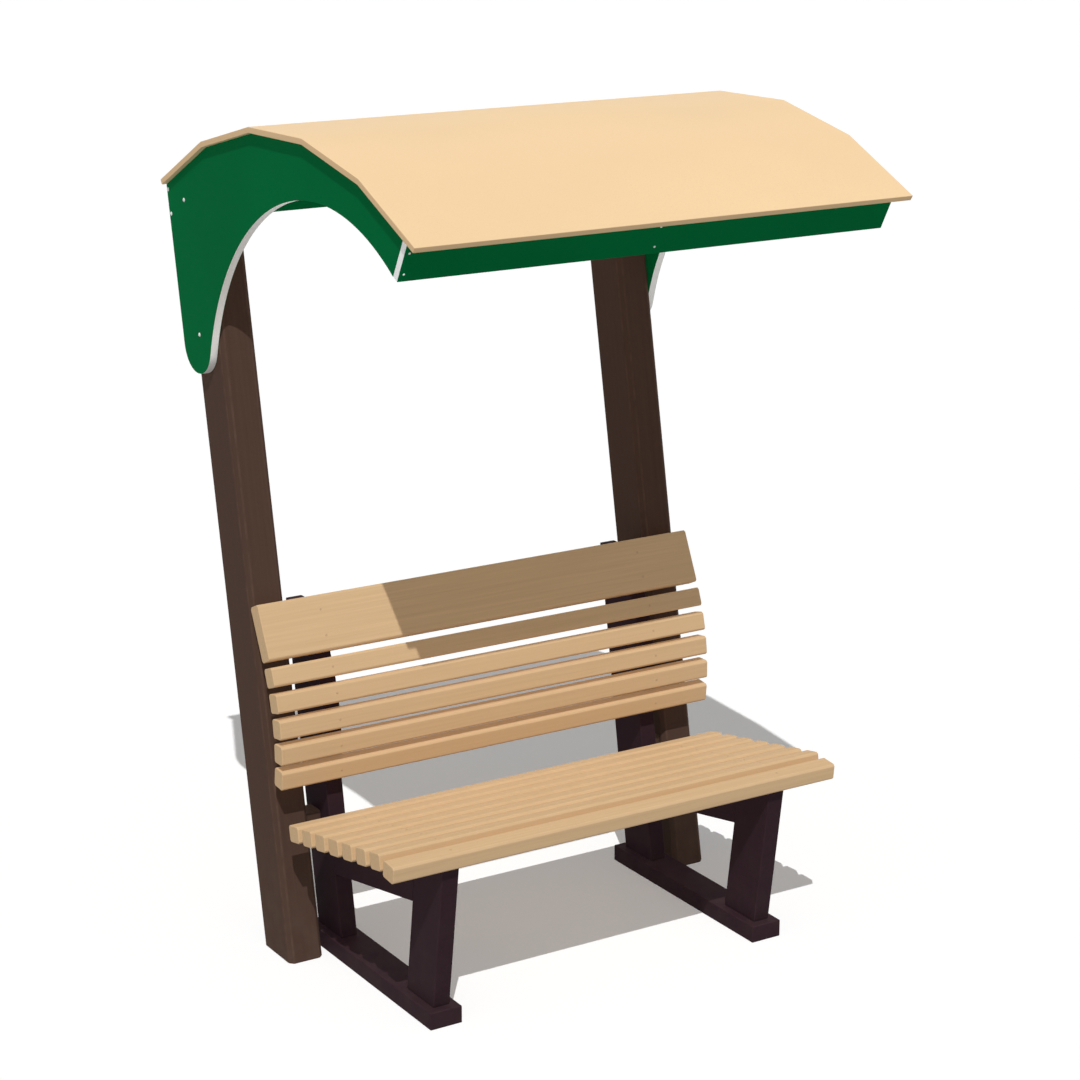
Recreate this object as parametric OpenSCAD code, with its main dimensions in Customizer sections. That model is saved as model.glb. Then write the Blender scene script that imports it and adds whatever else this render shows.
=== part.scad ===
// Small open bus shelter: a slatted bench between two leaning posts, under a curved roof.
// X runs along the bench, the front faces -Y, and Z = 0 is the ground.
// Outlines are drawn in the YZ plane and extruded along X.

/* [Roof] */
// Height of the crown above the ground
overall_height = 2222; // [2100:1:2400]
// Overhang of the roof sheet beyond the side panels
roof_overhang = 13; // [0:1:60]
// Radius of the circle that the roof's folds lie on
roof_radius = 1270; // [1200:1:1320]
// Angle from the roof's rear edge to its front edge
roof_sweep = 64.5; // [64:0.5:68]
// Lean of the roof's middle towards the rear
roof_tilt = 0.9; // [0:0.1:1.5]
// Number of flats that the sheet is folded into
roof_flats = 5; // [5:2:9]
// Thickness of the roof sheet
roof_sheet_t = 15; // [8:1:18]

/* [Panels and rails] */
// Thickness of the panel board, also used for the rails and the rib
board_t = 22; // [18:1:24]
// Depth of the front rail below the roof sheet
front_rail_depth = 112; // [90:1:125]
// Depth of the rear rail and of the rib below the roof sheet
rear_rail_depth = 104; // [90:1:125]
// Angle of the panels' front edge from the middle of the roof circle
panel_front_angle = 28.2; // [27:0.1:29.5]
// Depth of the side panels at their front edge
panel_front_d = 113; // [112:1:128]
// Depth of the side panels from the crown of the roof to the top of the arch under them
arch_depth = 147; // [130:1:160]
// Length of the side panels' rear edge from the roof to the rounded tail
tail_length = 418; // [405:1:445]
// Radius of the rounded tail of each side panel
tail_radius = 80; // [70:1:90]

/* [Posts] */
// Width of a post along the bench
post_w = 100; // [90:1:105]
// Depth of a post from front to rear
post_d = 157; // [140:1:165]
// Chamfer on the long edges of a post
post_chamfer = 12; // [5:1:16]
// Lean of the posts towards the rear
post_lean = 10.7; // [9.5:0.1:11.5]
// Front edge of a post on the ground
post_front_y = 108; // [105:1:125]
// Gap between a foot and the post beside it
post_gap = 24; // [15:1:30]

/* [Bench ends] */
// Overhang of the slats beyond the middle of each bench end
slat_overhang = 175; // [150:1:190]
// Width of a foot along the bench
foot_w = 92; // [80:1:100]
// Height of a foot
foot_h = 47; // [40:1:55]
// Length of a foot from front to rear
foot_length = 680; // [660:1:700]
// Front end of a foot
foot_front_y = -425; // [-430:1:-415]
// Width of the legs and bearers along the bench
leg_w = 48; // [40:1:60]
// Lean of the front leg towards the front
front_leg_lean = 8; // [7:0.1:9]
// Front face of the front leg where it stands on the foot
front_leg_y = -400; // [-405:1:-390]
// Depth of the front leg, measured level
front_leg_d = 137; // [120:1:145]
// Lean of the rear leg's rear face
rear_leg_lean = 9.5; // [8.5:0.1:10]
// Rear face of the rear leg where it stands on the foot
rear_leg_y = 228; // [215:1:235]
// Depth of the rear leg where it stands on the foot
rear_leg_d = 134; // [115:1:140]
// Height of the top of the rear leg
rear_leg_top = 928; // [915:1:950]
// Depth of the seat bearer under the slats
bearer_d = 131; // [110:1:140]

/* [Slats] */
// Length of the slats
slat_length = 1350; // [1342:1:1380]
// Width of a slat
slat_w = 52; // [46:1:56]
// Thickness of a slat
slat_t = 45; // [40:1:48]
// Bevel on the long edges of a slat
slat_bevel = 5; // [2:1:8]
// Distance from one seat slat to the next
seat_pitch = 74.9; // [72:0.1:75.5]
// Fall of the seat towards the rear
seat_slope = 10.6; // [10:0.1:11]
// Height of the rear edge of the seat
seat_rear_h = 408; // [400:1:412]
// Rear edge of the seat
seat_rear_y = 88; // [86:1:94]
// Fall of the front slat towards the front
front_slat_fall = 6; // [4:0.5:8]
// Drop of the front slat below the line of the others
front_slat_drop = 11; // [9:0.5:13]
// Radius of the curve of the back
back_radius = 600; // [580:5:620]
// Height of the foremost point of the back
back_middle_h = 575; // [570:1:580]
// Foremost point of the back
back_front_y = 115; // [112:1:122]
// Angle of the lowest back slat, negative where it leans forward
back_first_angle = -5.7; // [-6:0.1:-5]
// Turn from one back slat to the next
back_turn = 6.75; // [6.6:0.05:6.8]
// Recline of the top board
top_recline = 25; // [24.5:0.5:26]
// Width of the top board
top_board_w = 150; // [140:1:155]
// Start of the top board above the end of the curve
top_board_rise = 5; // [4:1:8]

/* [Spacers] */
// Height of a spacer between post and bench end
spacer_h = 60; // [40:1:70]
// Depth of a spacer from front to rear
spacer_d = 56; // [40:1:60]
// Height of the middle of the lower spacer
lower_spacer_z = 350; // [330:5:420]
// Height of the middle of the upper spacer
upper_spacer_z = 880; // [860:5:890]

/* [Hidden] */
$fn = 240;
roof_tan = [0.95, 0.82, 0.65];
panel_green = [0.03, 0.34, 0.18];
post_brown = [0.30, 0.23, 0.19];
end_brown = [0.18, 0.12, 0.14];
slat_tan = [0.85, 0.70, 0.53];

// Seat slats behind the front one, and narrow slats in the back
seat_slats = 7;
back_slats = 5;

// Directions in the YZ plane, as angles from +Y towards +Z
post_dir = 90 - post_lean;
front_leg_dir = 90 + front_leg_lean;
rear_leg_dir = 90 - rear_leg_lean;
seat_dir = 180 - seat_slope;
rail_dir = 90 + panel_front_angle;

// Faces along X
end_x = slat_length / 2 - slat_overhang;
post_inner_x = end_x + foot_w / 2 + post_gap;
post_outer_x = post_inner_x + post_w;
panel_outer_x = post_outer_x + board_t;
roof_length = 2 * (panel_outer_x + roof_overhang);

// Lines of the posts and of the panels' rear edge
post_front = [post_front_y, 0];
post_rear = along(post_front, 0, post_d / cos(post_lean));
panel_rear = along(post_front, 0, (post_d + board_t) / cos(post_lean));

// Roof circle, set so that the panels' rear edge runs up to the rear corner under the sheet
fold_turn = roof_sweep / roof_flats;
under_radius = roof_radius - roof_sheet_t / cos(fold_turn / 2);
under_flat = under_radius * cos(fold_turn / 2);
roof_middle_z = overall_height - roof_radius * cos(fold_turn / 2 - roof_tilt);
rear_corner_z = roof_middle_z + under_radius * cos(roof_angle(0));
rear_corner_y = meet(panel_rear, post_dir, [0, rear_corner_z], 0)[0];
roof_middle = [rear_corner_y - under_radius * sin(roof_angle(0)), roof_middle_z];

// Tail and arch of the side panels: the arch starts at the front corner, rises to its top
// and touches the tail, which gives a quadratic for the place of its middle
panel_front = along(roof_middle, rail_dir, under_flat - panel_front_d);
tail_rear = along([rear_corner_y, rear_corner_z], post_dir + 180, tail_length);
tail_middle = along(tail_rear, post_dir + 90, tail_radius);
arch_top_z = overall_height - arch_depth;
front_fall = arch_top_z - panel_front[1];
tail_fall = arch_top_z - tail_middle[1];
fall_ratio = (tail_fall + tail_radius) / front_fall;
half_term = tail_middle[0] - fall_ratio * panel_front[0];
square_rest = pow(tail_middle[0], 2) - fall_ratio * pow(panel_front[0], 2)
    + pow(tail_fall, 2) - pow(tail_radius, 2) - fall_ratio * pow(front_fall, 2);
arch_middle_y = (half_term - sqrt(half_term * half_term - (1 - fall_ratio) * square_rest)) / (1 - fall_ratio);
arch_radius = (pow(panel_front[0] - arch_middle_y, 2) + pow(front_fall, 2)) / (2 * front_fall);
arch_middle = [arch_middle_y, arch_top_z - arch_radius];

// Corners of the bench ends
front_leg_foot = [front_leg_y, foot_h];
rear_leg_foot = [rear_leg_y, foot_h];
seat_rear = [seat_rear_y, seat_rear_h];
seat_under = along(seat_rear, seat_dir + 90, slat_t);
bearer_under = along(seat_under, seat_dir + 90, bearer_d);
last_slat_front = along(seat_under, seat_dir, (seat_slats - 1) * seat_pitch + slat_w);
front_slat_rear = along(seat_rear, seat_dir, seat_slats * seat_pitch) - [0, front_slat_drop];
front_slat_under = along(front_slat_rear, front_slat_fall - 90, slat_t);

// Curve of the back, and the curve of the rear leg behind the slats
back_middle = [back_front_y + back_radius, back_middle_h];
leg_radius = back_radius - slat_t;
back_last_angle = back_first_angle + (back_slats - 1) * back_turn;

function along(p, a, d) = p + d * [cos(a), sin(a)];
// Point where the line from p at angle a crosses the line from q at angle b
function meet(p, a, q, b) =
    along(p, a, ((q[0] - p[0]) * sin(b) - (q[1] - p[1]) * cos(b)) / sin(b - a));
function roof_angle(i) = roof_sweep / 2 + roof_tilt - i * fold_turn;
function roof_point(r, i) = roof_middle + r * [sin(roof_angle(i)), cos(roof_angle(i))];
// Point of the back at an angle on the curve, r from its middle
function back_point(r, a) = back_middle + r * [-cos(a), sin(a)];
// Corner of the rear leg between two neighbouring flats behind the slats
function leg_corner(a, b) = back_point(leg_radius / cos((b - a) / 2), (a + b) / 2);

// Extrudes an outline in the YZ plane along X
module across(x, length) {
    translate([x, 0, 0]) rotate([90, 0, 90]) linear_extrude(length) children();
}

// The same about a middle plane
module across_middle(x, length) {
    across(x - length / 2, length) children();
}

// Rectangle with bevelled corners, from its corner towards -x and -y
module bevelled(w, t, c) {
    polygon([[0, -c], [-c, 0], [c - w, 0], [-w, -c], [-w, c - t], [c - w, -t], [-c, -t], [0, c - t]]);
}

// Everything below the underside of the roof
module under_roof() {
    polygon(concat([for (i = [0:roof_flats]) roof_point(under_radius, i)],
        [[roof_point(under_radius, roof_flats)[0], 0], [roof_point(under_radius, 0)[0], 0]]));
}

module post(side) {
    x = side * (post_inner_x + post_w / 2);
    color(post_brown) intersection() {
        translate([x + post_w / 2, post_front_y, 0]) rotate([-post_lean, 0, 0])
            translate([0, post_d, -post_d]) linear_extrude(overall_height + 2 * post_d)
                bevelled(post_w, post_d, post_chamfer);
        across_middle(x, 2 * post_w) under_roof();
    }
}

// Side panel: under the roof, behind its front edge, in front of its rear edge, over the arch
module side_panel(side) {
    front_top = along(roof_middle, rail_dir, roof_radius);
    x = side * (post_outer_x + board_t / 2);
    color(panel_green) intersection() {
        across_middle(x, 2 * board_t) under_roof();
        difference() {
            union() {
                across_middle(x, board_t) polygon([front_top, roof_middle, arch_middle, tail_middle,
                    tail_rear, along(tail_rear, post_dir, roof_radius)]);
                across_middle(x, board_t) translate(tail_middle) circle(tail_radius);
            }
            across_middle(x, 2 * board_t) translate(arch_middle) circle(arch_radius);
        }
    }
}

module centre_rib() {
    color(panel_green) intersection() {
        across_middle(0, 2 * board_t) under_roof();
        difference() {
            across_middle(0, board_t) polygon([roof_middle,
                along(roof_middle, rail_dir, overall_height),
                along(post_rear, post_dir, 2 * overall_height), meet(post_rear, post_dir, roof_middle, 0)]);
            across_middle(0, 2 * board_t) translate(roof_middle) circle(under_flat - rear_rail_depth);
        }
    }
}

module front_rail() {
    low = along(roof_middle, rail_dir, under_flat - front_rail_depth);
    high = along(roof_middle, rail_dir, roof_radius);
    color(panel_green) intersection() {
        across_middle(0, 3 * roof_length) under_roof();
        across_middle(0, 2 * panel_outer_x)
            polygon([low, high, along(high, rail_dir + 90, board_t), along(low, rail_dir + 90, board_t)]);
    }
}

module rear_rail() {
    top = meet(post_rear, post_dir, roof_point(under_radius, 0), 180 - roof_angle(0) + fold_turn / 2);
    low = along(top, post_dir + 180, rear_rail_depth);
    color(panel_green) intersection() {
        across_middle(0, 3 * roof_length) under_roof();
        across_middle(0, 2 * post_outer_x)
            polygon([low, along(low, post_dir, 2 * rear_rail_depth),
                along(along(low, post_dir - 90, board_t), post_dir, 2 * rear_rail_depth),
                along(low, post_dir - 90, board_t)]);
    }
}

module roof_sheet() {
    color(roof_tan) across_middle(0, roof_length)
        polygon(concat([for (i = [0:roof_flats]) roof_point(roof_radius, i)],
            [for (i = [roof_flats:-1:0]) roof_point(under_radius, i)]));
}

module foot(side) {
    color(end_brown) across_middle(side * end_x, foot_w)
        translate([foot_front_y, 0]) square([foot_length, foot_h]);
}

module front_leg(side) {
    leg_rear = along(front_leg_foot, 0, front_leg_d);
    color(end_brown) across_middle(side * end_x, leg_w)
        polygon([front_leg_foot, leg_rear, meet(leg_rear, front_leg_dir, seat_under, seat_dir),
            last_slat_front, front_slat_under,
            meet(front_leg_foot, front_leg_dir, front_slat_under, front_slat_fall)]);
}

module seat_bearer(side) {
    leg_rear = along(front_leg_foot, 0, front_leg_d);
    leg_front = along(rear_leg_foot, 180, rear_leg_d);
    low_corner = leg_corner(back_first_angle - back_turn, back_first_angle);
    leg_front_dir = atan2(low_corner[1] - leg_front[1], low_corner[0] - leg_front[0]);
    color(end_brown) across_middle(side * end_x, leg_w)
        polygon([meet(leg_rear, front_leg_dir, seat_under, seat_dir),
            meet(leg_rear, front_leg_dir, bearer_under, seat_dir),
            meet(leg_front, leg_front_dir, bearer_under, seat_dir),
            meet(leg_front, leg_front_dir, seat_under, seat_dir)]);
}

// Rear leg: a straight rear face, and a flat behind each slat of the back
module rear_leg(side) {
    angles = [for (i = [-1:back_slats - 1]) back_first_angle + i * back_turn];
    top_corner = leg_corner(back_last_angle, top_recline);
    color(end_brown) across_middle(side * end_x, leg_w)
        polygon(concat([rear_leg_foot, along(rear_leg_foot, 180, rear_leg_d)],
            [for (i = [0:back_slats - 1]) leg_corner(angles[i], angles[i + 1])],
            [top_corner, meet(top_corner, 90 - top_recline, [0, rear_leg_top], 0),
                meet(rear_leg_foot, rear_leg_dir, [0, rear_leg_top], 0)]));
}

// Blocks in the gap between a post and the rear leg beside it
module post_spacers(side) {
    gap = post_inner_x - end_x - leg_w / 2;
    x = side * (post_inner_x - gap / 2);
    color(post_brown) for (z = [lower_spacer_z, upper_spacer_z]) {
        middle = (meet(post_front, post_dir, [0, z], 0) + meet(rear_leg_foot, rear_leg_dir, [0, z], 0)) / 2;
        across_middle(x, gap) translate(middle) square([spacer_d, spacer_h], center = true);
    }
}

module seat_slat(i) {
    color(slat_tan) across_middle(0, slat_length)
        translate(along(seat_rear, seat_dir, (i - 1) * seat_pitch)) rotate(-seat_slope)
            bevelled(slat_w, slat_t, slat_bevel);
}

module front_seat_slat() {
    color(slat_tan) across_middle(0, slat_length)
        translate(front_slat_rear) rotate(front_slat_fall) bevelled(slat_w, slat_t, slat_bevel);
}

// Back slats are numbered from the lowest
module back_slat(i) {
    angle = back_first_angle + (i - 1) * back_turn;
    color(slat_tan) across_middle(0, slat_length)
        translate(back_point(leg_radius, angle)) rotate(-angle) translate([0, slat_w / 2])
            bevelled(slat_t, slat_w, slat_bevel);
}

module top_back_board() {
    color(slat_tan) across_middle(0, slat_length)
        translate(back_point(leg_radius, top_recline)) rotate(-top_recline)
            translate([0, top_board_rise + top_board_w])
                bevelled(slat_t, top_board_w, slat_bevel);
}

post(-1);  // left_post
post(1);  // right_post
side_panel(-1);  // left_side_panel
side_panel(1);  // right_side_panel
centre_rib();
front_rail();
rear_rail();
roof_sheet();
foot(-1);  // left_foot
front_leg(-1);  // left_front_leg
rear_leg(-1);  // left_rear_leg
seat_bearer(-1);  // left_seat_bearer
foot(1);  // right_foot
front_leg(1);  // right_front_leg
rear_leg(1);  // right_rear_leg
seat_bearer(1);  // right_seat_bearer
post_spacers(-1);  // left_post_spacers
post_spacers(1);  // right_post_spacers
seat_slat(1);  // seat_slat_1
seat_slat(2);  // seat_slat_2
seat_slat(3);  // seat_slat_3
seat_slat(4);  // seat_slat_4
seat_slat(5);  // seat_slat_5
seat_slat(6);  // seat_slat_6
seat_slat(7);  // seat_slat_7
front_seat_slat();
back_slat(1);  // back_slat_1
back_slat(2);  // back_slat_2
back_slat(3);  // back_slat_3
back_slat(4);  // back_slat_4
back_slat(5);  // back_slat_5
top_back_board();
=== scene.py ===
import math

import bmesh
import bpy
from bpy.props import FloatProperty, FloatVectorProperty, IntProperty, PointerProperty
from bpy.types import Operator, Panel, PropertyGroup
from mathutils import Color, Matrix, Vector


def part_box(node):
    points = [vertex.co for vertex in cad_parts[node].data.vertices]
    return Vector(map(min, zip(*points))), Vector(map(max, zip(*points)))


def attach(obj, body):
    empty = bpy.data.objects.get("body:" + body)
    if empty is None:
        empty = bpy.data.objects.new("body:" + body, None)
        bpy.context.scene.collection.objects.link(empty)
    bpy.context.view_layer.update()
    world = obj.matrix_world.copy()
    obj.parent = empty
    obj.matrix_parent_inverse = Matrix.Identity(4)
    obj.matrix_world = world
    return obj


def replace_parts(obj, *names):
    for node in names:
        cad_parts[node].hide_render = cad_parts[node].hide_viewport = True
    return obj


bl_info = {
    "name": "Bus shelter finish",
    "version": (1, 0, 0),
    "blender": (4, 5, 0),
    "location": "3D View > Sidebar > Shelter",
    "description": "Dresses the frame with eased boards, planks, posts, screws and a stage",
    "category": "Object",
}

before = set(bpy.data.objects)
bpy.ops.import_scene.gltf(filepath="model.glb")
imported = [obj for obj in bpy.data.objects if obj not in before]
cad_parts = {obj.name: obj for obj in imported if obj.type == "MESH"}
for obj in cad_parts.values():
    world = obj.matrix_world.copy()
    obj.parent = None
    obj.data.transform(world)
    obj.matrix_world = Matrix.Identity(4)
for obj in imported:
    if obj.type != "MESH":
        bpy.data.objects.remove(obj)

BODY = "root"
SIDES = ("left", "right")
ROOF = ("roof_sheet",)
BOARDS = ("left_side_panel", "right_side_panel", "centre_rib", "front_rail", "rear_rail")
POSTS = ("left_post", "right_post")
SPACERS = ("left_post_spacers", "right_post_spacers")
END_PARTS = ("foot", "front_leg", "rear_leg", "seat_bearer")
BENCH_ENDS = tuple(f"{side}_{part}" for side in SIDES for part in END_PARTS)
SEAT_SLATS = tuple(f"seat_slat_{n}" for n in range(1, 8)) + ("front_seat_slat",)
BACK_SLATS = tuple(f"back_slat_{n}" for n in range(1, 6)) + ("top_back_board",)

# Screw places on a panel's outer face, as depth and height in metres.
PANEL_SCREWS = ((0.6595, 1.997), (0.6445, 1.935), (0.5625, 1.982), (0.4955, 1.639))
# Screw places up a rail, as shares of its depth from the lower edge.
RAIL_SCREWS = (0.18, 0.69)
# Screw places across a slat and across the wide top board, as shares of the width.
SLAT_SCREWS = (0.5,)
BOARD_SCREWS = (0.25, 0.75)

# Rings of a screw head from the flange up to the rim, then those of the recess,
# as shares of the head's radius and height.
HEAD_RINGS = (
    (1.22, -0.45),
    (1.22, 0.22),
    (1.12, 0.34),
    (1.0, 0.4),
    (0.88, 0.78),
    (0.66, 0.98),
    (0.46, 1.0),
)
RECESS_RINGS = ((0.36, 0.96), (0.33, 0.1))
HEAD_STEPS = 30
RECESS_LOBES = 6
LOBE_DEPTH = 0.14
# Head heights in metres.
PANEL_HEAD = 0.0022
RAIL_HEAD = 0.0016
PLANK_HEAD = 0.0009

# Points closer than this, in metres, are one point.
MERGE = 1e-5
# Faces that turn less than this are one flat.
FLAT_ANGLE = math.radians(0.3)
# Edges sharper than this stay crisp in the shading.
SHADE_ANGLE = math.radians(38)
# Edges sharper than these are rounded. The roof's folds are blunter and stay crisp.
ROOF_CORNER = math.radians(40)
CORNER = math.radians(20)
# A roof face smaller than this share of the largest one belongs to the border.
BORDER_SHARE = 0.2

# Tone of the roof's darker border faces and of a plank's own tint, for each colour channel.
ROOF_BORDER_TONE = Vector((0.87, 0.83, 0.8))
PLANK_TINT = Vector((0.95, 0.93, 0.9))
# Step that spreads the planks' tints evenly.
TINT_STEP = 0.618
# Depth in metres over which a board's skin gives way to its core.
SKIN_FADE = 0.0003
# Lean of the posts, and how far streaks are drawn out along each axis.
POST_LEAN = math.radians(10.7)
POST_STREAKS = (120.0, 120.0, 2.2)
BENCH_END_STREAKS = (60.0, 60.0, 60.0)
PLANK_STREAKS = (2.6, 150.0, 150.0)
POST_DUST = 0.16
BENCH_END_DUST = 0.07

UP = Vector((0, 0, 1))
FRONT = Vector((0, -1, 0))
BACK = Vector((0, 1, 0))
ALONG = Vector((1, 0, 0))

WHITE = (1.0, 1.0, 1.0, 1.0)
FLOOR_GREY = (0.5, 0.5, 0.5, 1.0)
SENSOR_WIDTH = 36.0
VIEW_END = 200.0

# Colour sockets of the Mix node.
MIX_SHARE, MIX_UNDER, MIX_OVER = 0, 6, 7
MIX_RESULT = 2


def srgb(red, green, blue):
    """An 8-bit display colour as the 0 to 1 values that a colour property holds."""
    return (red / 255, green / 255, blue / 255)


def length(label, about, metres):
    """A length property in metres."""
    return FloatProperty(
        name=label,
        description=about,
        default=metres,
        min=0.0,
        precision=4,
        subtype="DISTANCE",
        unit="LENGTH",
    )


def paint(label, about, colour):
    """A colour property, kept as it looks on a display."""
    return FloatVectorProperty(
        name=label,
        description=about,
        default=colour,
        min=0.0,
        max=1.0,
        size=3,
        subtype="COLOR_GAMMA",
    )


def angle(label, about, degrees):
    """An angle property, given in degrees and kept in radians."""
    return FloatProperty(
        name=label,
        description=about,
        default=math.radians(degrees),
        subtype="ANGLE",
        unit="ROTATION",
    )


def amount(label, about, value):
    """A plain number property, from zero."""
    return FloatProperty(name=label, description=about, default=value, min=0.0)


def count(label, about, value, most):
    """A whole number property, from one."""
    return IntProperty(name=label, description=about, default=value, min=1, max=most)


class ShelterSizes(PropertyGroup):
    """Edge roundings and screw sizes."""

    roof_edge: length("Roof edge", "Rounding along the roof sheet's border", 0.0016)
    board_edge: length("Board edge", "Rounding along the cut edges of panels and rails", 0.0012)
    post_edge: length("Post edge", "Rounding along the posts' corners", 0.003)
    bench_edge: length("Bench end edge", "Rounding along the bench ends' corners", 0.0025)
    plank_edge: length("Plank edge", "Rounding along the slats' corners", 0.0022)
    board_skin: length("Board skin", "Thickness of the green skin on a board's faces", 0.0011)
    board_screw: length("Board screw", "Head radius of the screws in the side panels", 0.0044)
    rail_screw: length("Rail screw", "Head radius of the screws in the rails", 0.0024)
    plank_screw: length("Plank screw", "Head radius of the screws in the slats", 0.0029)
    bench_width: length("Bench screws", "From the bench's middle to the slat screws", 0.5)
    end_inset: length("Rail screw inset", "From a rail's end to its outer screws", 0.012)
    rounds: count("Rounding steps", "Faces across each rounded edge", 3, most=6)


class ShelterColours(PropertyGroup):
    """Colours of the finishes."""

    roof: paint("Roof", "Coated roof sheet", srgb(248, 215, 169))
    board: paint("Board", "Coloured skin of panels and rails", srgb(3, 111, 60))
    core: paint("Core", "Pale core that shows on cut edges", srgb(254, 255, 253))
    post: paint("Post", "Recycled plastic posts", srgb(82, 63, 54))
    bench_end: paint("Bench end", "Dark moulded bench ends", srgb(53, 37, 43))
    plank: paint("Plank", "Seat and back slats", srgb(220, 187, 146))
    plank_dark: paint("Plank streak", "Darker streaks in the slats", srgb(206, 174, 134))
    steel: paint("Steel", "Screws in panels and rails", srgb(242, 248, 243))
    capped: paint("Capped screw", "Painted screw heads in the slats", srgb(202, 170, 131))
    dirt: paint("Dirt", "Dust and splashes near the ground", srgb(120, 106, 92))


class ShelterStage(PropertyGroup):
    """Light, floor and camera."""

    azimuth: angle("Camera azimuth", "Turn of the camera round the shelter", -31.86)
    elevation: angle("Camera elevation", "Height of the camera above the horizon", 16.10)
    distance: length("Camera distance", "From the camera to the point it looks at", 7.1179)
    target: FloatVectorProperty(
        name="Camera target",
        description="Point that the camera looks at",
        default=(0.0, -0.0675, 1.116),
        size=3,
        subtype="XYZ",
        unit="LENGTH",
    )
    lens: FloatProperty(
        name="Lens", description="Focal length in millimetres", default=90.80, min=1.0
    )
    sun_fall: FloatVectorProperty(
        name="Sun fall",
        description="Direction that the sunlight travels",
        default=(0.365, 0.636, -1.0),
        size=3,
        subtype="XYZ",
    )
    sun_power: amount("Sun power", "Strength of the main light", 1.96)
    sun_spread: angle("Sun spread", "Angle that the main light seems to cover", 0.35)
    sky_power: amount("Sky power", "Strength of the even light", 0.15)
    fill_power: amount("Fill power", "Strength of each fill light", 0.56)
    fill_height: angle("Fill height", "Angle of the fill lights above the horizon", 30.0)
    fill_count: count("Fill lights", "Fill lights spread round the shelter", 3, most=12)
    floor_glow: amount("Floor lift", "Light added so that the floor meets the backdrop", 0.045)
    floor_size: length("Floor size", "Half of the floor's width", 40.0)


def linear(colour):
    """A display colour as the linear value that shader sockets take."""
    return (*Color(colour).from_srgb_to_scene_linear(), 1.0)


def toned(colour, share):
    """A display colour made lighter or darker, by one share or by one for each channel."""
    return (*(Vector(linear(colour)[:3]) * share), 1.0)


def add(tree, kind, inputs=None, **settings):
    """Adds a node; inputs are values or sockets to link from, by socket name or number."""
    made = tree.nodes.new(kind)
    for name, value in settings.items():
        setattr(made, name, value)
    for socket, value in (inputs or {}).items():
        if isinstance(value, bpy.types.NodeSocket):
            tree.links.new(value, made.inputs[socket])
        else:
            made.inputs[socket].default_value = value
    return made


def calc(tree, operation, first, second=0.0, clamp=False):
    """The result of one sum."""
    sockets = {0: first, 1: second}
    made = add(tree, "ShaderNodeMath", sockets, operation=operation, use_clamp=clamp)
    return made.outputs[0]


def mix(tree, share, under, over):
    """Two colours mixed by a share from 0 to 1."""
    sockets = {MIX_SHARE: share, MIX_UNDER: under, MIX_OVER: over}
    return add(tree, "ShaderNodeMix", sockets, data_type="RGBA").outputs[MIX_RESULT]


def cover(tree, mask, strength, under, over):
    """A colour laid over another where a mask is set, at part strength."""
    return mix(tree, calc(tree, "MULTIPLY", mask, strength), under, over)


def ramp(tree, value, low, high, to_low=0.0, to_high=1.0):
    """A value taken from one range to another and held inside it."""
    sockets = {
        "Value": value,
        "From Min": low,
        "From Max": high,
        "To Min": to_low,
        "To Max": to_high,
    }
    return add(tree, "ShaderNodeMapRange", sockets, clamp=True).outputs["Result"]


def own_place(tree):
    """The place on a piece, in the frame's metres."""
    return add(tree, "ShaderNodeTexCoord").outputs["Object"]


def own_mask(tree, name):
    """A value that a piece's mesh carries."""
    return add(tree, "ShaderNodeAttribute", attribute_name=name).outputs["Fac"]


def noise(tree, place, scale, detail, roughness=0.5):
    """Cloudy noise as a value near one half."""
    sockets = {"Vector": place, "Scale": scale, "Detail": detail, "Roughness": roughness}
    return add(tree, "ShaderNodeTexNoise", sockets).outputs[0]


def new_group(name, inputs, outputs):
    """An empty shader node group with its sockets."""
    group = bpy.data.node_groups.new(name, "ShaderNodeTree")
    for label, kind, default in inputs:
        socket = group.interface.new_socket(label, in_out="INPUT", socket_type=kind)
        socket.default_value = default
    for label in outputs:
        group.interface.new_socket(label, in_out="OUTPUT", socket_type="NodeSocketFloat")
    return group, add(group, "NodeGroupInput").outputs, add(group, "NodeGroupOutput").inputs


def drawn_streaks():
    """Streaks that plastic or timber shows along its length."""
    group, given, result = new_group(
        "Drawn streaks",
        (
            ("Lean", "NodeSocketFloat", 0.0),
            ("Stretch", "NodeSocketVector", (3.0, 140.0, 140.0)),
            ("Contrast", "NodeSocketFloat", 1.6),
        ),
        ("Streak", "Height"),
    )
    lean = {"Vector": own_place(group), "Angle": given["Lean"]}
    turned = add(group, "ShaderNodeVectorRotate", lean, rotation_type="X_AXIS").outputs[0]
    stretch = {0: turned, 1: given["Stretch"]}
    drawn = add(group, "ShaderNodeVectorMath", stretch, operation="MULTIPLY").outputs[0]
    grain = noise(group, drawn, scale=1.0, detail=5.0, roughness=0.62)
    spread = calc(group, "MULTIPLY", calc(group, "SUBTRACT", grain, 0.5), given["Contrast"])
    group.links.new(calc(group, "ADD", spread, 0.5, clamp=True), result["Streak"])
    group.links.new(grain, result["Height"])
    return group


def fine_skin():
    """Fine pitting and flecks of a moulded or coated face."""
    group, given, result = new_group(
        "Fine skin",
        (("Scale", "NodeSocketFloat", 400.0), ("Flecks", "NodeSocketFloat", 0.3)),
        ("Fleck", "Height"),
    )
    place = own_place(group)
    cells = add(group, "ShaderNodeTexVoronoi", {"Vector": place, "Scale": given["Scale"]})
    limit = calc(group, "MULTIPLY", given["Flecks"], 0.5)
    fleck = calc(group, "LESS_THAN", cells.outputs["Distance"], limit)
    group.links.new(fleck, result["Fleck"])
    group.links.new(noise(group, place, given["Scale"], detail=3.0), result["Height"])
    return group


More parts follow.
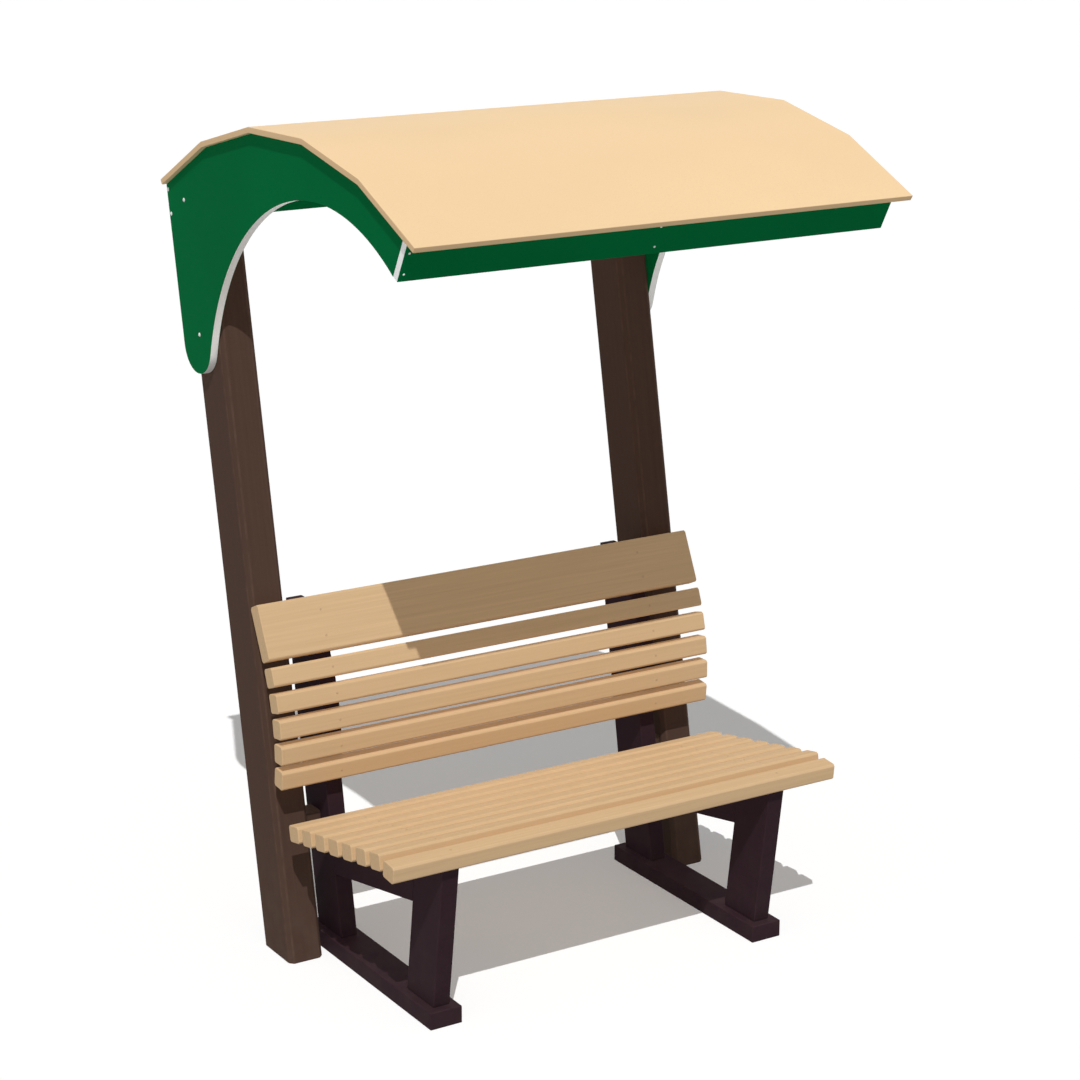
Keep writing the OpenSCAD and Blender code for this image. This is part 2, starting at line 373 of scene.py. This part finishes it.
def broad_mottle():
    """Slow changes of tone over a whole piece."""
    group, given, result = new_group(
        "Broad mottle", (("Scale", "NodeSocketFloat", 3.0),), ("Tone",)
    )
    cloud = noise(group, own_place(group), given["Scale"], detail=4.0, roughness=0.55)
    group.links.new(ramp(group, cloud, 0.3, 0.7), result["Tone"])
    return group


def rubbed_edges():
    """Mask of the eased edges where the finish is rubbed."""
    group, given, result = new_group(
        "Rubbed edges",
        (("Scale", "NodeSocketFloat", 30.0), ("Amount", "NodeSocketFloat", 0.5)),
        ("Rub",),
    )
    patch = ramp(group, noise(group, own_place(group), given["Scale"], detail=4.0), 0.35, 0.65)
    rubbed = calc(group, "MULTIPLY", own_mask(group, "eased"), patch)
    group.links.new(calc(group, "MULTIPLY", rubbed, given["Amount"]), result["Rub"])
    return group


def ground_dust():
    """Mask of dust and splashes that fade upward from the ground."""
    group, given, result = new_group(
        "Ground dust",
        (("Reach", "NodeSocketFloat", 0.35), ("Amount", "NodeSocketFloat", 0.3)),
        ("Dust",),
    )
    place = own_place(group)
    height = add(group, "ShaderNodeSeparateXYZ", {0: place}).outputs["Z"]
    rise = calc(group, "DIVIDE", height, given["Reach"])
    low = calc(group, "SUBTRACT", 1.0, rise, clamp=True)
    spots = ramp(group, noise(group, place, scale=18.0, detail=6.0), 0.35, 0.75)
    dusty = calc(group, "MULTIPLY", low, spots)
    group.links.new(calc(group, "MULTIPLY", dusty, given["Amount"]), result["Dust"])
    return group


def effect(tree, maker, **values):
    """Places a shared effect in a material; the group is built on its first use."""
    name = maker.__name__.replace("_", " ").capitalize()
    group = bpy.data.node_groups.get(name) or maker()
    made = add(tree, "ShaderNodeGroup", node_tree=group)
    for label, value in values.items():
        made.inputs[label].default_value = value
    return made.outputs


def new_material(name, roughness, specular):
    """A material with its shader's plain values set."""
    material = bpy.data.materials.new(name)
    material.use_nodes = True
    shader = material.node_tree.nodes["Principled BSDF"]
    shader.inputs["Roughness"].default_value = roughness
    shader.inputs["Specular IOR Level"].default_value = specular
    return material, material.node_tree, shader.inputs


def relief(tree, shader, height, strength, depth):
    """A bump from a height value on the shader's normal."""
    sockets = {"Height": height, "Strength": strength, "Distance": depth}
    tree.links.new(add(tree, "ShaderNodeBump", sockets).outputs[0], shader["Normal"])


def roof_finish(colours):
    """Satin coated sheet with soft mottling, fine specks and darker border faces."""
    material, tree, shader = new_material("Roof coating", roughness=0.5, specular=0.08)
    tone = effect(tree, broad_mottle, Scale=1.6)["Tone"]
    skin = effect(tree, fine_skin, Scale=190.0, Flecks=0.5)
    rub = effect(tree, rubbed_edges, Scale=14.0, Amount=0.35)["Rub"]
    worn = toned(colours.roof, 0.8)
    face = mix(tree, tone, toned(colours.roof, 0.97), toned(colours.roof, 1.02))
    face = cover(tree, skin["Fleck"], 0.18, face, worn)
    # The roof's narrow border faces get a darker tone of the roof colour.
    face = mix(tree, own_mask(tree, "border"), face, toned(colours.roof, ROOF_BORDER_TONE))
    tree.links.new(mix(tree, rub, face, worn), shader["Base Color"])
    satin = ramp(tree, tone, 0.0, 1.0, to_low=0.46, to_high=0.56)
    tree.links.new(satin, shader["Roughness"])
    relief(tree, shader, skin["Height"], strength=0.12, depth=0.0004)
    return material


def board_finish(colours, sizes):
    """Green skin over a pale core that shows on cut edges."""
    material, tree, shader = new_material("Green board", roughness=0.48, specular=0.004)
    tone = effect(tree, broad_mottle, Scale=2.2)["Tone"]
    skin = effect(tree, fine_skin, Scale=280.0, Flecks=0.5)
    rub = effect(tree, rubbed_edges, Scale=22.0, Amount=0.4)["Rub"]
    face = mix(tree, tone, toned(colours.board, 0.94), toned(colours.board, 1.05))
    face = cover(tree, skin["Fleck"], 0.25, face, toned(colours.board, 1.25))
    core = mix(tree, skin["Height"], toned(colours.core, 0.97), linear(colours.core))
    low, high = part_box("left_side_panel")
    skin_start = (high.x - low.x) / 2 - sizes.board_skin
    through = calc(tree, "ABSOLUTE", own_mask(tree, "through"))
    inside = ramp(tree, through, skin_start, skin_start - SKIN_FADE)
    face = mix(tree, inside, face, core)
    worn = mix(tree, rub, face, toned(colours.board, 1.5))
    tree.links.new(worn, shader["Base Color"])
    satin = ramp(tree, inside, 0.0, 1.0, to_low=0.46, to_high=0.62)
    tree.links.new(satin, shader["Roughness"])
    tree.links.new(inside, shader["Coat Weight"])
    shader["Coat Roughness"].default_value = 0.45
    shader["Coat IOR"].default_value = 2.2
    relief(tree, shader, skin["Height"], strength=0.3, depth=0.0004)
    return material


def moulded_finish(name, colour, dirt, lean, streaks, dusty):
    """Streaked recycled plastic with rubbed corners and dust near the ground."""
    material, tree, shader = new_material(name, roughness=0.6, specular=0.02)
    grain = effect(tree, drawn_streaks, Lean=lean, Stretch=streaks, Contrast=1.8)
    skin = effect(tree, fine_skin, Scale=340.0, Flecks=0.25)
    tone = effect(tree, broad_mottle, Scale=4.0)["Tone"]
    rub = effect(tree, rubbed_edges, Scale=26.0, Amount=0.45)["Rub"]
    dust = effect(tree, ground_dust, Reach=0.4, Amount=dusty)["Dust"]
    face = mix(tree, grain["Streak"], toned(colour, 0.91), toned(colour, 1.08))
    face = cover(tree, tone, 0.3, face, toned(colour, 1.12))
    face = cover(tree, skin["Fleck"], 0.3, face, toned(colour, 1.5))
    face = mix(tree, rub, face, toned(colour, 1.6))
    tree.links.new(mix(tree, dust, face, linear(dirt)), shader["Base Color"])
    matt = ramp(tree, grain["Streak"], 0.0, 1.0, to_low=0.55, to_high=0.68)
    tree.links.new(matt, shader["Roughness"])
    height = calc(tree, "ADD", grain["Height"], skin["Height"])
    relief(tree, shader, height, strength=0.25, depth=0.0005)
    return material


def plank_finish(colours):
    """Tan plank plastic with long streaks and a tone of its own for each plank."""
    material, tree, shader = new_material("Plank", roughness=0.58, specular=0.06)
    grain = effect(tree, drawn_streaks, Stretch=PLANK_STREAKS, Contrast=1.5)
    skin = effect(tree, fine_skin, Scale=420.0, Flecks=0.22)
    rub = effect(tree, rubbed_edges, Scale=20.0, Amount=0.4)["Rub"]
    light = toned(colours.plank, 1.04)
    face = mix(tree, grain["Streak"], linear(colours.plank_dark), light)
    face = cover(tree, own_mask(tree, "tint"), 0.5, face, toned(colours.plank, PLANK_TINT))
    face = cover(tree, skin["Fleck"], 0.22, face, toned(colours.plank, 0.7))
    worn = mix(tree, rub, face, toned(colours.plank, 1.1))
    tree.links.new(worn, shader["Base Color"])
    matt = ramp(tree, grain["Streak"], 0.0, 1.0, to_low=0.64, to_high=0.52)
    tree.links.new(matt, shader["Roughness"])
    height = calc(tree, "ADD", grain["Height"], skin["Height"])
    relief(tree, shader, height, strength=0.2, depth=0.0004)
    return material


def screw_finish(name, colour, roughness):
    """Screw heads with fine marks and small scuffs."""
    material, tree, shader = new_material(name, roughness, specular=0.3)
    skin = effect(tree, fine_skin, Scale=1400.0, Flecks=0.35)
    tone = mix(tree, skin["Height"], toned(colour, 0.82), toned(colour, 1.1))
    scuffed = cover(tree, skin["Fleck"], 0.3, tone, toned(colour, 0.6))
    tree.links.new(scuffed, shader["Base Color"])
    satin = ramp(tree, skin["Height"], 0.3, 0.7, roughness - 0.08, roughness + 0.1)
    tree.links.new(satin, shader["Roughness"])
    relief(tree, shader, skin["Height"], strength=0.15, depth=0.0002)
    return material


def flat_copy(node):
    """A CAD node's mesh with its triangles joined into flat faces."""
    work = bmesh.new()
    work.from_mesh(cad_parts[node].data)
    bmesh.ops.remove_doubles(work, verts=work.verts, dist=MERGE)
    bmesh.ops.dissolve_limit(work, angle_limit=FLAT_ANGLE, verts=work.verts, edges=work.edges)
    bmesh.ops.recalc_face_normals(work, faces=work.faces)
    return work


def ease(work, radius, rounds, above):
    """Rounds the edges sharper than an angle and marks the new faces as eased."""
    layer = work.faces.layers.float.new("eased")
    sharp = [edge for edge in work.edges if edge.is_manifold and edge.calc_face_angle() > above]
    made = bmesh.ops.bevel(
        work,
        geom=sharp,
        offset=radius,
        offset_type="OFFSET",
        segments=rounds,
        profile=0.5,
        affect="EDGES",
    )
    for face in made["faces"]:
        face[layer] = 1.0


def broad_face(work, toward):
    """The largest flat face that looks toward a direction."""
    return max(work.faces, key=lambda face: face.calc_area() * max(0.0, face.normal.dot(toward)))


def board_axis(work):
    """The direction through a board's thickness, and its two faces' places along it."""
    axis = max(work.faces, key=lambda face: face.calc_area()).normal.copy()
    places = [axis.dot(vert.co) for vert in work.verts]
    return axis, min(places), max(places)


def new_piece(name, work, material):
    """Links a finished mesh as a smooth-shaded piece that rides on the frame."""
    mesh = bpy.data.meshes.new(name)
    work.to_mesh(mesh)
    work.free()
    mesh.shade_smooth()
    mesh.set_sharp_from_angle(angle=SHADE_ANGLE)
    mesh.materials.append(material)
    piece = bpy.data.objects.new(name, mesh)
    bpy.context.scene.collection.objects.link(piece)
    piece.modifiers.new("Even shading", "WEIGHTED_NORMAL").keep_sharp = True
    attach(piece, BODY)
    return piece


def finished(node, work, material):
    """Puts a finished mesh in the place of its CAD node."""
    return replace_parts(new_piece(f"{node}_finish", work, material), node)


def screw_head(work, place, axis, radius, height, turn):
    """Adds a screw with a thin flange, a domed head and a six-lobed recess."""
    facing = axis.to_track_quat("Z", "Y").to_matrix() @ Matrix.Rotation(turn, 3, "Z")
    loops = []
    for ring in HEAD_RINGS + RECESS_RINGS:
        share, level = ring
        lobes = LOBE_DEPTH if ring in RECESS_RINGS else 0
        loop = []
        for step in range(HEAD_STEPS):
            around = 2 * math.pi * step / HEAD_STEPS
            reach = radius * share * (1 + lobes * math.cos(RECESS_LOBES * around))
            spot = Vector((reach * math.cos(around), reach * math.sin(around), level * height))
            loop.append(work.verts.new(place + facing @ spot))
        loops.append(loop)
    for low, high in zip(loops, loops[1:]):
        for step in range(HEAD_STEPS):
            ahead = (step + 1) % HEAD_STEPS
            work.faces.new((low[step], low[ahead], high[ahead], high[step]))
    work.faces.new(reversed(loops[0]))
    work.faces.new(loops[-1])


def screw_line(node, toward, shares):
    """Places and direction of a plank's screws, at shares of its face's width."""
    work = flat_copy(node)
    face = broad_face(work, toward)
    axis = face.normal.copy()
    across = axis.cross(ALONG)
    reach = [across.dot(vert.co) for vert in face.verts]
    width = max(reach) - min(reach)
    middle = face.calc_center_median()
    edge = min(reach) - across.dot(middle)
    places = [middle + across * (edge + share * width) for share in shares]
    work.free()
    return places, axis


class SHELTER_OT_roof(Operator):
    """Make the coated roof sheet"""

    bl_idname = "shelter.roof"
    bl_label = "Roof sheet"

    def execute(self, context):
        sizes = context.scene.shelter_sizes
        material = roof_finish(context.scene.shelter_colours)
        for node in ROOF:
            work = flat_copy(node)
            layer = work.faces.layers.float.new("border")
            broad = max(face.calc_area() for face in work.faces) * BORDER_SHARE
            for face in work.faces:
                face[layer] = 0.0 if face.calc_area() > broad else 1.0
            ease(work, sizes.roof_edge, sizes.rounds, ROOF_CORNER)
            finished(node, work, material)
        return {"FINISHED"}


class SHELTER_OT_boards(Operator):
    """Make the green side panels, rib and rails"""

    bl_idname = "shelter.boards"
    bl_label = "Panels and rails"

    def execute(self, context):
        sizes = context.scene.shelter_sizes
        material = board_finish(context.scene.shelter_colours, sizes)
        for node in BOARDS:
            work = flat_copy(node)
            axis, low, high = board_axis(work)
            ease(work, sizes.board_edge, sizes.rounds, CORNER)
            layer = work.verts.layers.float.new("through")
            for vert in work.verts:
                vert[layer] = axis.dot(vert.co) - (low + high) / 2
            finished(node, work, material)
        return {"FINISHED"}


class SHELTER_OT_posts(Operator):
    """Make the leaning posts and their spacers"""

    bl_idname = "shelter.posts"
    bl_label = "Posts and spacers"

    def execute(self, context):
        sizes = context.scene.shelter_sizes
        colours = context.scene.shelter_colours
        material = moulded_finish(
            "Brown post", colours.post, colours.dirt, POST_LEAN, POST_STREAKS, POST_DUST
        )
        for node in POSTS + SPACERS:
            work = flat_copy(node)
            ease(work, sizes.post_edge, sizes.rounds, CORNER)
            finished(node, work, material)
        return {"FINISHED"}


class SHELTER_OT_bench_ends(Operator):
    """Make the dark bench ends with their feet"""

    bl_idname = "shelter.bench_ends"
    bl_label = "Bench ends"

    def execute(self, context):
        sizes = context.scene.shelter_sizes
        colours = context.scene.shelter_colours
        material = moulded_finish(
            "Dark bench end",
            colours.bench_end,
            colours.dirt,
            lean=0.0,
            streaks=BENCH_END_STREAKS,
            dusty=BENCH_END_DUST,
        )
        for node in BENCH_ENDS:
            work = flat_copy(node)
            ease(work, sizes.bench_edge, sizes.rounds, CORNER)
            finished(node, work, material)
        return {"FINISHED"}


class SHELTER_OT_planks(Operator):
    """Make the seat slats, back slats and top board"""

    bl_idname = "shelter.planks"
    bl_label = "Slats"

    def execute(self, context):
        sizes = context.scene.shelter_sizes
        material = plank_finish(context.scene.shelter_colours)
        for number, node in enumerate(SEAT_SLATS + BACK_SLATS):
            work = flat_copy(node)
            ease(work, sizes.plank_edge, sizes.rounds, CORNER)
            layer = work.faces.layers.float.new("tint")
            for face in work.faces:
                face[layer] = (number * TINT_STEP) % 1.0
            finished(node, work, material)
        return {"FINISHED"}


class SHELTER_OT_screws(Operator):
    """Make the screws in panels, rails and slats"""

    bl_idname = "shelter.screws"
    bl_label = "Screws"

    def execute(self, context):
        sizes = context.scene.shelter_sizes
        colours = context.scene.shelter_colours
        steel = screw_finish("Board screw", colours.steel, roughness=0.4)
        capped = screw_finish("Plank screw", colours.capped, roughness=0.5)
        new_piece("panel_screws", self.in_panels(sizes), steel)
        new_piece("rail_screws", self.in_rails(sizes), steel)
        new_piece("plank_screws", self.in_planks(sizes), capped)
        return {"FINISHED"}

    @staticmethod
    def in_panels(sizes):
        """Screws on the outer face of either side panel."""
        work = bmesh.new()
        for side, outward in zip(SIDES, (-ALONG, ALONG)):
            low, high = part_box(f"{side}_side_panel")
            face = low.x if outward.x < 0 else high.x
            for turn, (deep, tall) in enumerate(PANEL_SCREWS):
                place = Vector((face, deep, tall))
                screw_head(work, place, outward, sizes.board_screw, PANEL_HEAD, turn)
        return work

    @staticmethod
    def in_rails(sizes):
        """Screws in the middle of both rails and at the front rail's left end."""
        work = bmesh.new()
        for node, toward in (("front_rail", FRONT), ("rear_rail", BACK)):
            places, axis = screw_line(node, toward, RAIL_SCREWS)
            columns = [0.0]
            if node == "front_rail":
                low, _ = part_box(node)
                columns.append(low.x + sizes.end_inset)
            for turn, across in enumerate(columns):
                for place in places:
                    spot = Vector((across, place.y, place.z))
                    screw_head(work, spot, axis, sizes.rail_screw, RAIL_HEAD, turn)
        return work

    @staticmethod
    def in_planks(sizes):
        """Screws that hold the slats and the top board to the bench ends."""
        work = bmesh.new()
        rows = [(node, UP, SLAT_SCREWS) for node in SEAT_SLATS]
        rows += [(node, FRONT, SLAT_SCREWS) for node in BACK_SLATS[:-1]]
        rows += [(BACK_SLATS[-1], FRONT, BOARD_SCREWS)]
        for turn, (node, toward, shares) in enumerate(rows):
            places, axis = screw_line(node, toward, shares)
            for place in places:
                for across in (-sizes.bench_width, sizes.bench_width):
                    spot = Vector((across, place.y, place.z))
                    screw_head(work, spot, axis, sizes.plank_screw, PLANK_HEAD, turn)
        return work


class SHELTER_OT_stage(Operator):
    """Make the floor, the light and the camera"""

    bl_idname = "shelter.stage"
    bl_label = "Stage"

    def execute(self, context):
        scene = context.scene
        stage = scene.shelter_stage
        scene.view_settings.view_transform = "Standard"
        self.floor(scene, stage)
        self.light(scene, stage)
        self.camera(scene, stage)
        return {"FINISHED"}

    @staticmethod
    def seen_directly(tree):
        """One for rays that show the stage itself: seen, mirrored or through glass."""
        path = add(tree, "ShaderNodeLightPath").outputs
        mirrored = calc(tree, "MAXIMUM", path["Is Glossy Ray"], path["Is Transmission Ray"])
        return calc(tree, "MAXIMUM", path["Is Camera Ray"], mirrored)

    @staticmethod
    def outward(azimuth, elevation):
        """Direction from the shelter to a place round it, with the front at zero azimuth."""
        level = math.cos(elevation)
        return Vector(
            (math.sin(azimuth) * level, -math.cos(azimuth) * level, math.sin(elevation))
        )

    @staticmethod
    def lamp(scene, name, power, fall):
        """A far lamp whose light travels one way."""
        data = bpy.data.lights.new(name, "SUN")
        data.energy = power
        lamp = bpy.data.objects.new(name, data)
        lamp.rotation_euler = fall.to_track_quat("-Z", "Y").to_euler()
        scene.collection.objects.link(lamp)
        return lamp

    def floor(self, scene, stage):
        """A wide pale floor that keeps the shadow, meets the backdrop and is clear from below."""
        half = stage.floor_size
        corners = [(-half, -half, 0), (half, -half, 0), (half, half, 0), (-half, half, 0)]
        mesh = bpy.data.meshes.new("floor")
        mesh.from_pydata(corners, [], [(0, 1, 2, 3)])
        material = bpy.data.materials.new("Pale floor")
        material.use_nodes = True
        tree = material.node_tree
        tree.nodes.remove(tree.nodes["Principled BSDF"])
        to_sun = -Vector(stage.sun_fall).normalized()
        axes = dict(zip("XYZ", to_sun))
        facing = add(tree, "ShaderNodeCombineXYZ", axes).outputs[0]
        pale = {"Color": WHITE, "Normal": facing}
        white = add(tree, "ShaderNodeBsdfDiffuse", pale).outputs[0]
        lift = add(tree, "ShaderNodeEmission", {"Strength": stage.floor_glow}).outputs[0]
        shown = add(tree, "ShaderNodeAddShader", {0: white, 1: lift}).outputs[0]
        quiet = add(tree, "ShaderNodeBsdfDiffuse", {"Color": FLOOR_GREY}).outputs[0]
        sides = {0: self.seen_directly(tree), 1: quiet, 2: shown}
        top = add(tree, "ShaderNodeMixShader", sides).outputs[0]
        below = add(tree, "ShaderNodeNewGeometry").outputs["Backfacing"]
        clear = add(tree, "ShaderNodeBsdfTransparent").outputs[0]
        both = add(tree, "ShaderNodeMixShader", {0: below, 1: top, 2: clear}).outputs[0]
        tree.links.new(both, tree.nodes["Material Output"].inputs["Surface"])
        mesh.materials.append(material)
        floor = bpy.data.objects.new("floor", mesh)
        scene.collection.objects.link(floor)

    def light(self, scene, stage):
        """A main light from the front left, and fill and even light from all round."""
        sun = self.lamp(scene, "sun", stage.sun_power, Vector(stage.sun_fall))
        sun.data.angle = stage.sun_spread
        for number in range(stage.fill_count):
            around = stage.azimuth + math.pi + 2 * math.pi * number / stage.fill_count
            away = self.outward(around, stage.fill_height)
            fill = self.lamp(scene, f"fill_{number + 1}", stage.fill_power, -away)
            fill.data.use_shadow = False
            fill.visible_glossy = False
        world = bpy.data.worlds.new("Even light")
        scene.world = world
        world.use_nodes = True
        tree = world.node_tree
        strength = ramp(tree, self.seen_directly(tree), 0.0, 1.0, to_low=stage.sky_power)
        background = tree.nodes["Background"].inputs
        background["Color"].default_value = WHITE
        tree.links.new(strength, background["Strength"])

    def camera(self, scene, stage):
        """A camera at the photograph's place."""
        away = self.outward(stage.azimuth, stage.elevation)
        data = bpy.data.cameras.new("camera")
        data.sensor_width = SENSOR_WIDTH
        data.lens = stage.lens
        data.clip_end = VIEW_END
        camera = bpy.data.objects.new("camera", data)
        camera.location = Vector(stage.target) + away * stage.distance
        camera.rotation_euler = (-away).to_track_quat("-Z", "Y").to_euler()
        scene.collection.objects.link(camera)
        scene.camera = camera


class SHELTER_PT_pieces(Panel):
    """The shelter's sizes, colours and pieces"""

    bl_idname = "SHELTER_PT_pieces"
    bl_label = "Bus shelter"
    bl_space_type = "VIEW_3D"
    bl_region_type = "UI"
    bl_category = "Shelter"

    def draw(self, context):
        for title, settings in (
            ("Sizes", context.scene.shelter_sizes),
            ("Colours", context.scene.shelter_colours),
            ("Stage", context.scene.shelter_stage),
        ):
            box = self.layout.box()
            box.label(text=title)
            for name in settings.__annotations__:
                box.prop(settings, name)
        for operator in OPERATORS:
            self.layout.operator(operator.bl_idname)


GROUPS = (ShelterSizes, ShelterColours, ShelterStage)
OPERATORS = (
    SHELTER_OT_roof,
    SHELTER_OT_boards,
    SHELTER_OT_posts,
    SHELTER_OT_bench_ends,
    SHELTER_OT_planks,
    SHELTER_OT_screws,
    SHELTER_OT_stage,
)
CLASSES = (*GROUPS, *OPERATORS, SHELTER_PT_pieces)


def register():
    for cls in CLASSES:
        bpy.utils.register_class(cls)
    bpy.types.Scene.shelter_sizes = PointerProperty(type=ShelterSizes)
    bpy.types.Scene.shelter_colours = PointerProperty(type=ShelterColours)
    bpy.types.Scene.shelter_stage = PointerProperty(type=ShelterStage)


def unregister():
    del bpy.types.Scene.shelter_stage
    del bpy.types.Scene.shelter_colours
    del bpy.types.Scene.shelter_sizes
    for cls in reversed(CLASSES):
        bpy.utils.unregister_class(cls)


def main():
    """Makes every piece."""
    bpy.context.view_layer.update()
    register()
    bpy.ops.shelter.roof()
    bpy.ops.shelter.boards()
    bpy.ops.shelter.posts()
    bpy.ops.shelter.bench_ends()
    bpy.ops.shelter.planks()
    bpy.ops.shelter.screws()
    bpy.ops.shelter.stage()


if __name__ == "__main__":
    main()
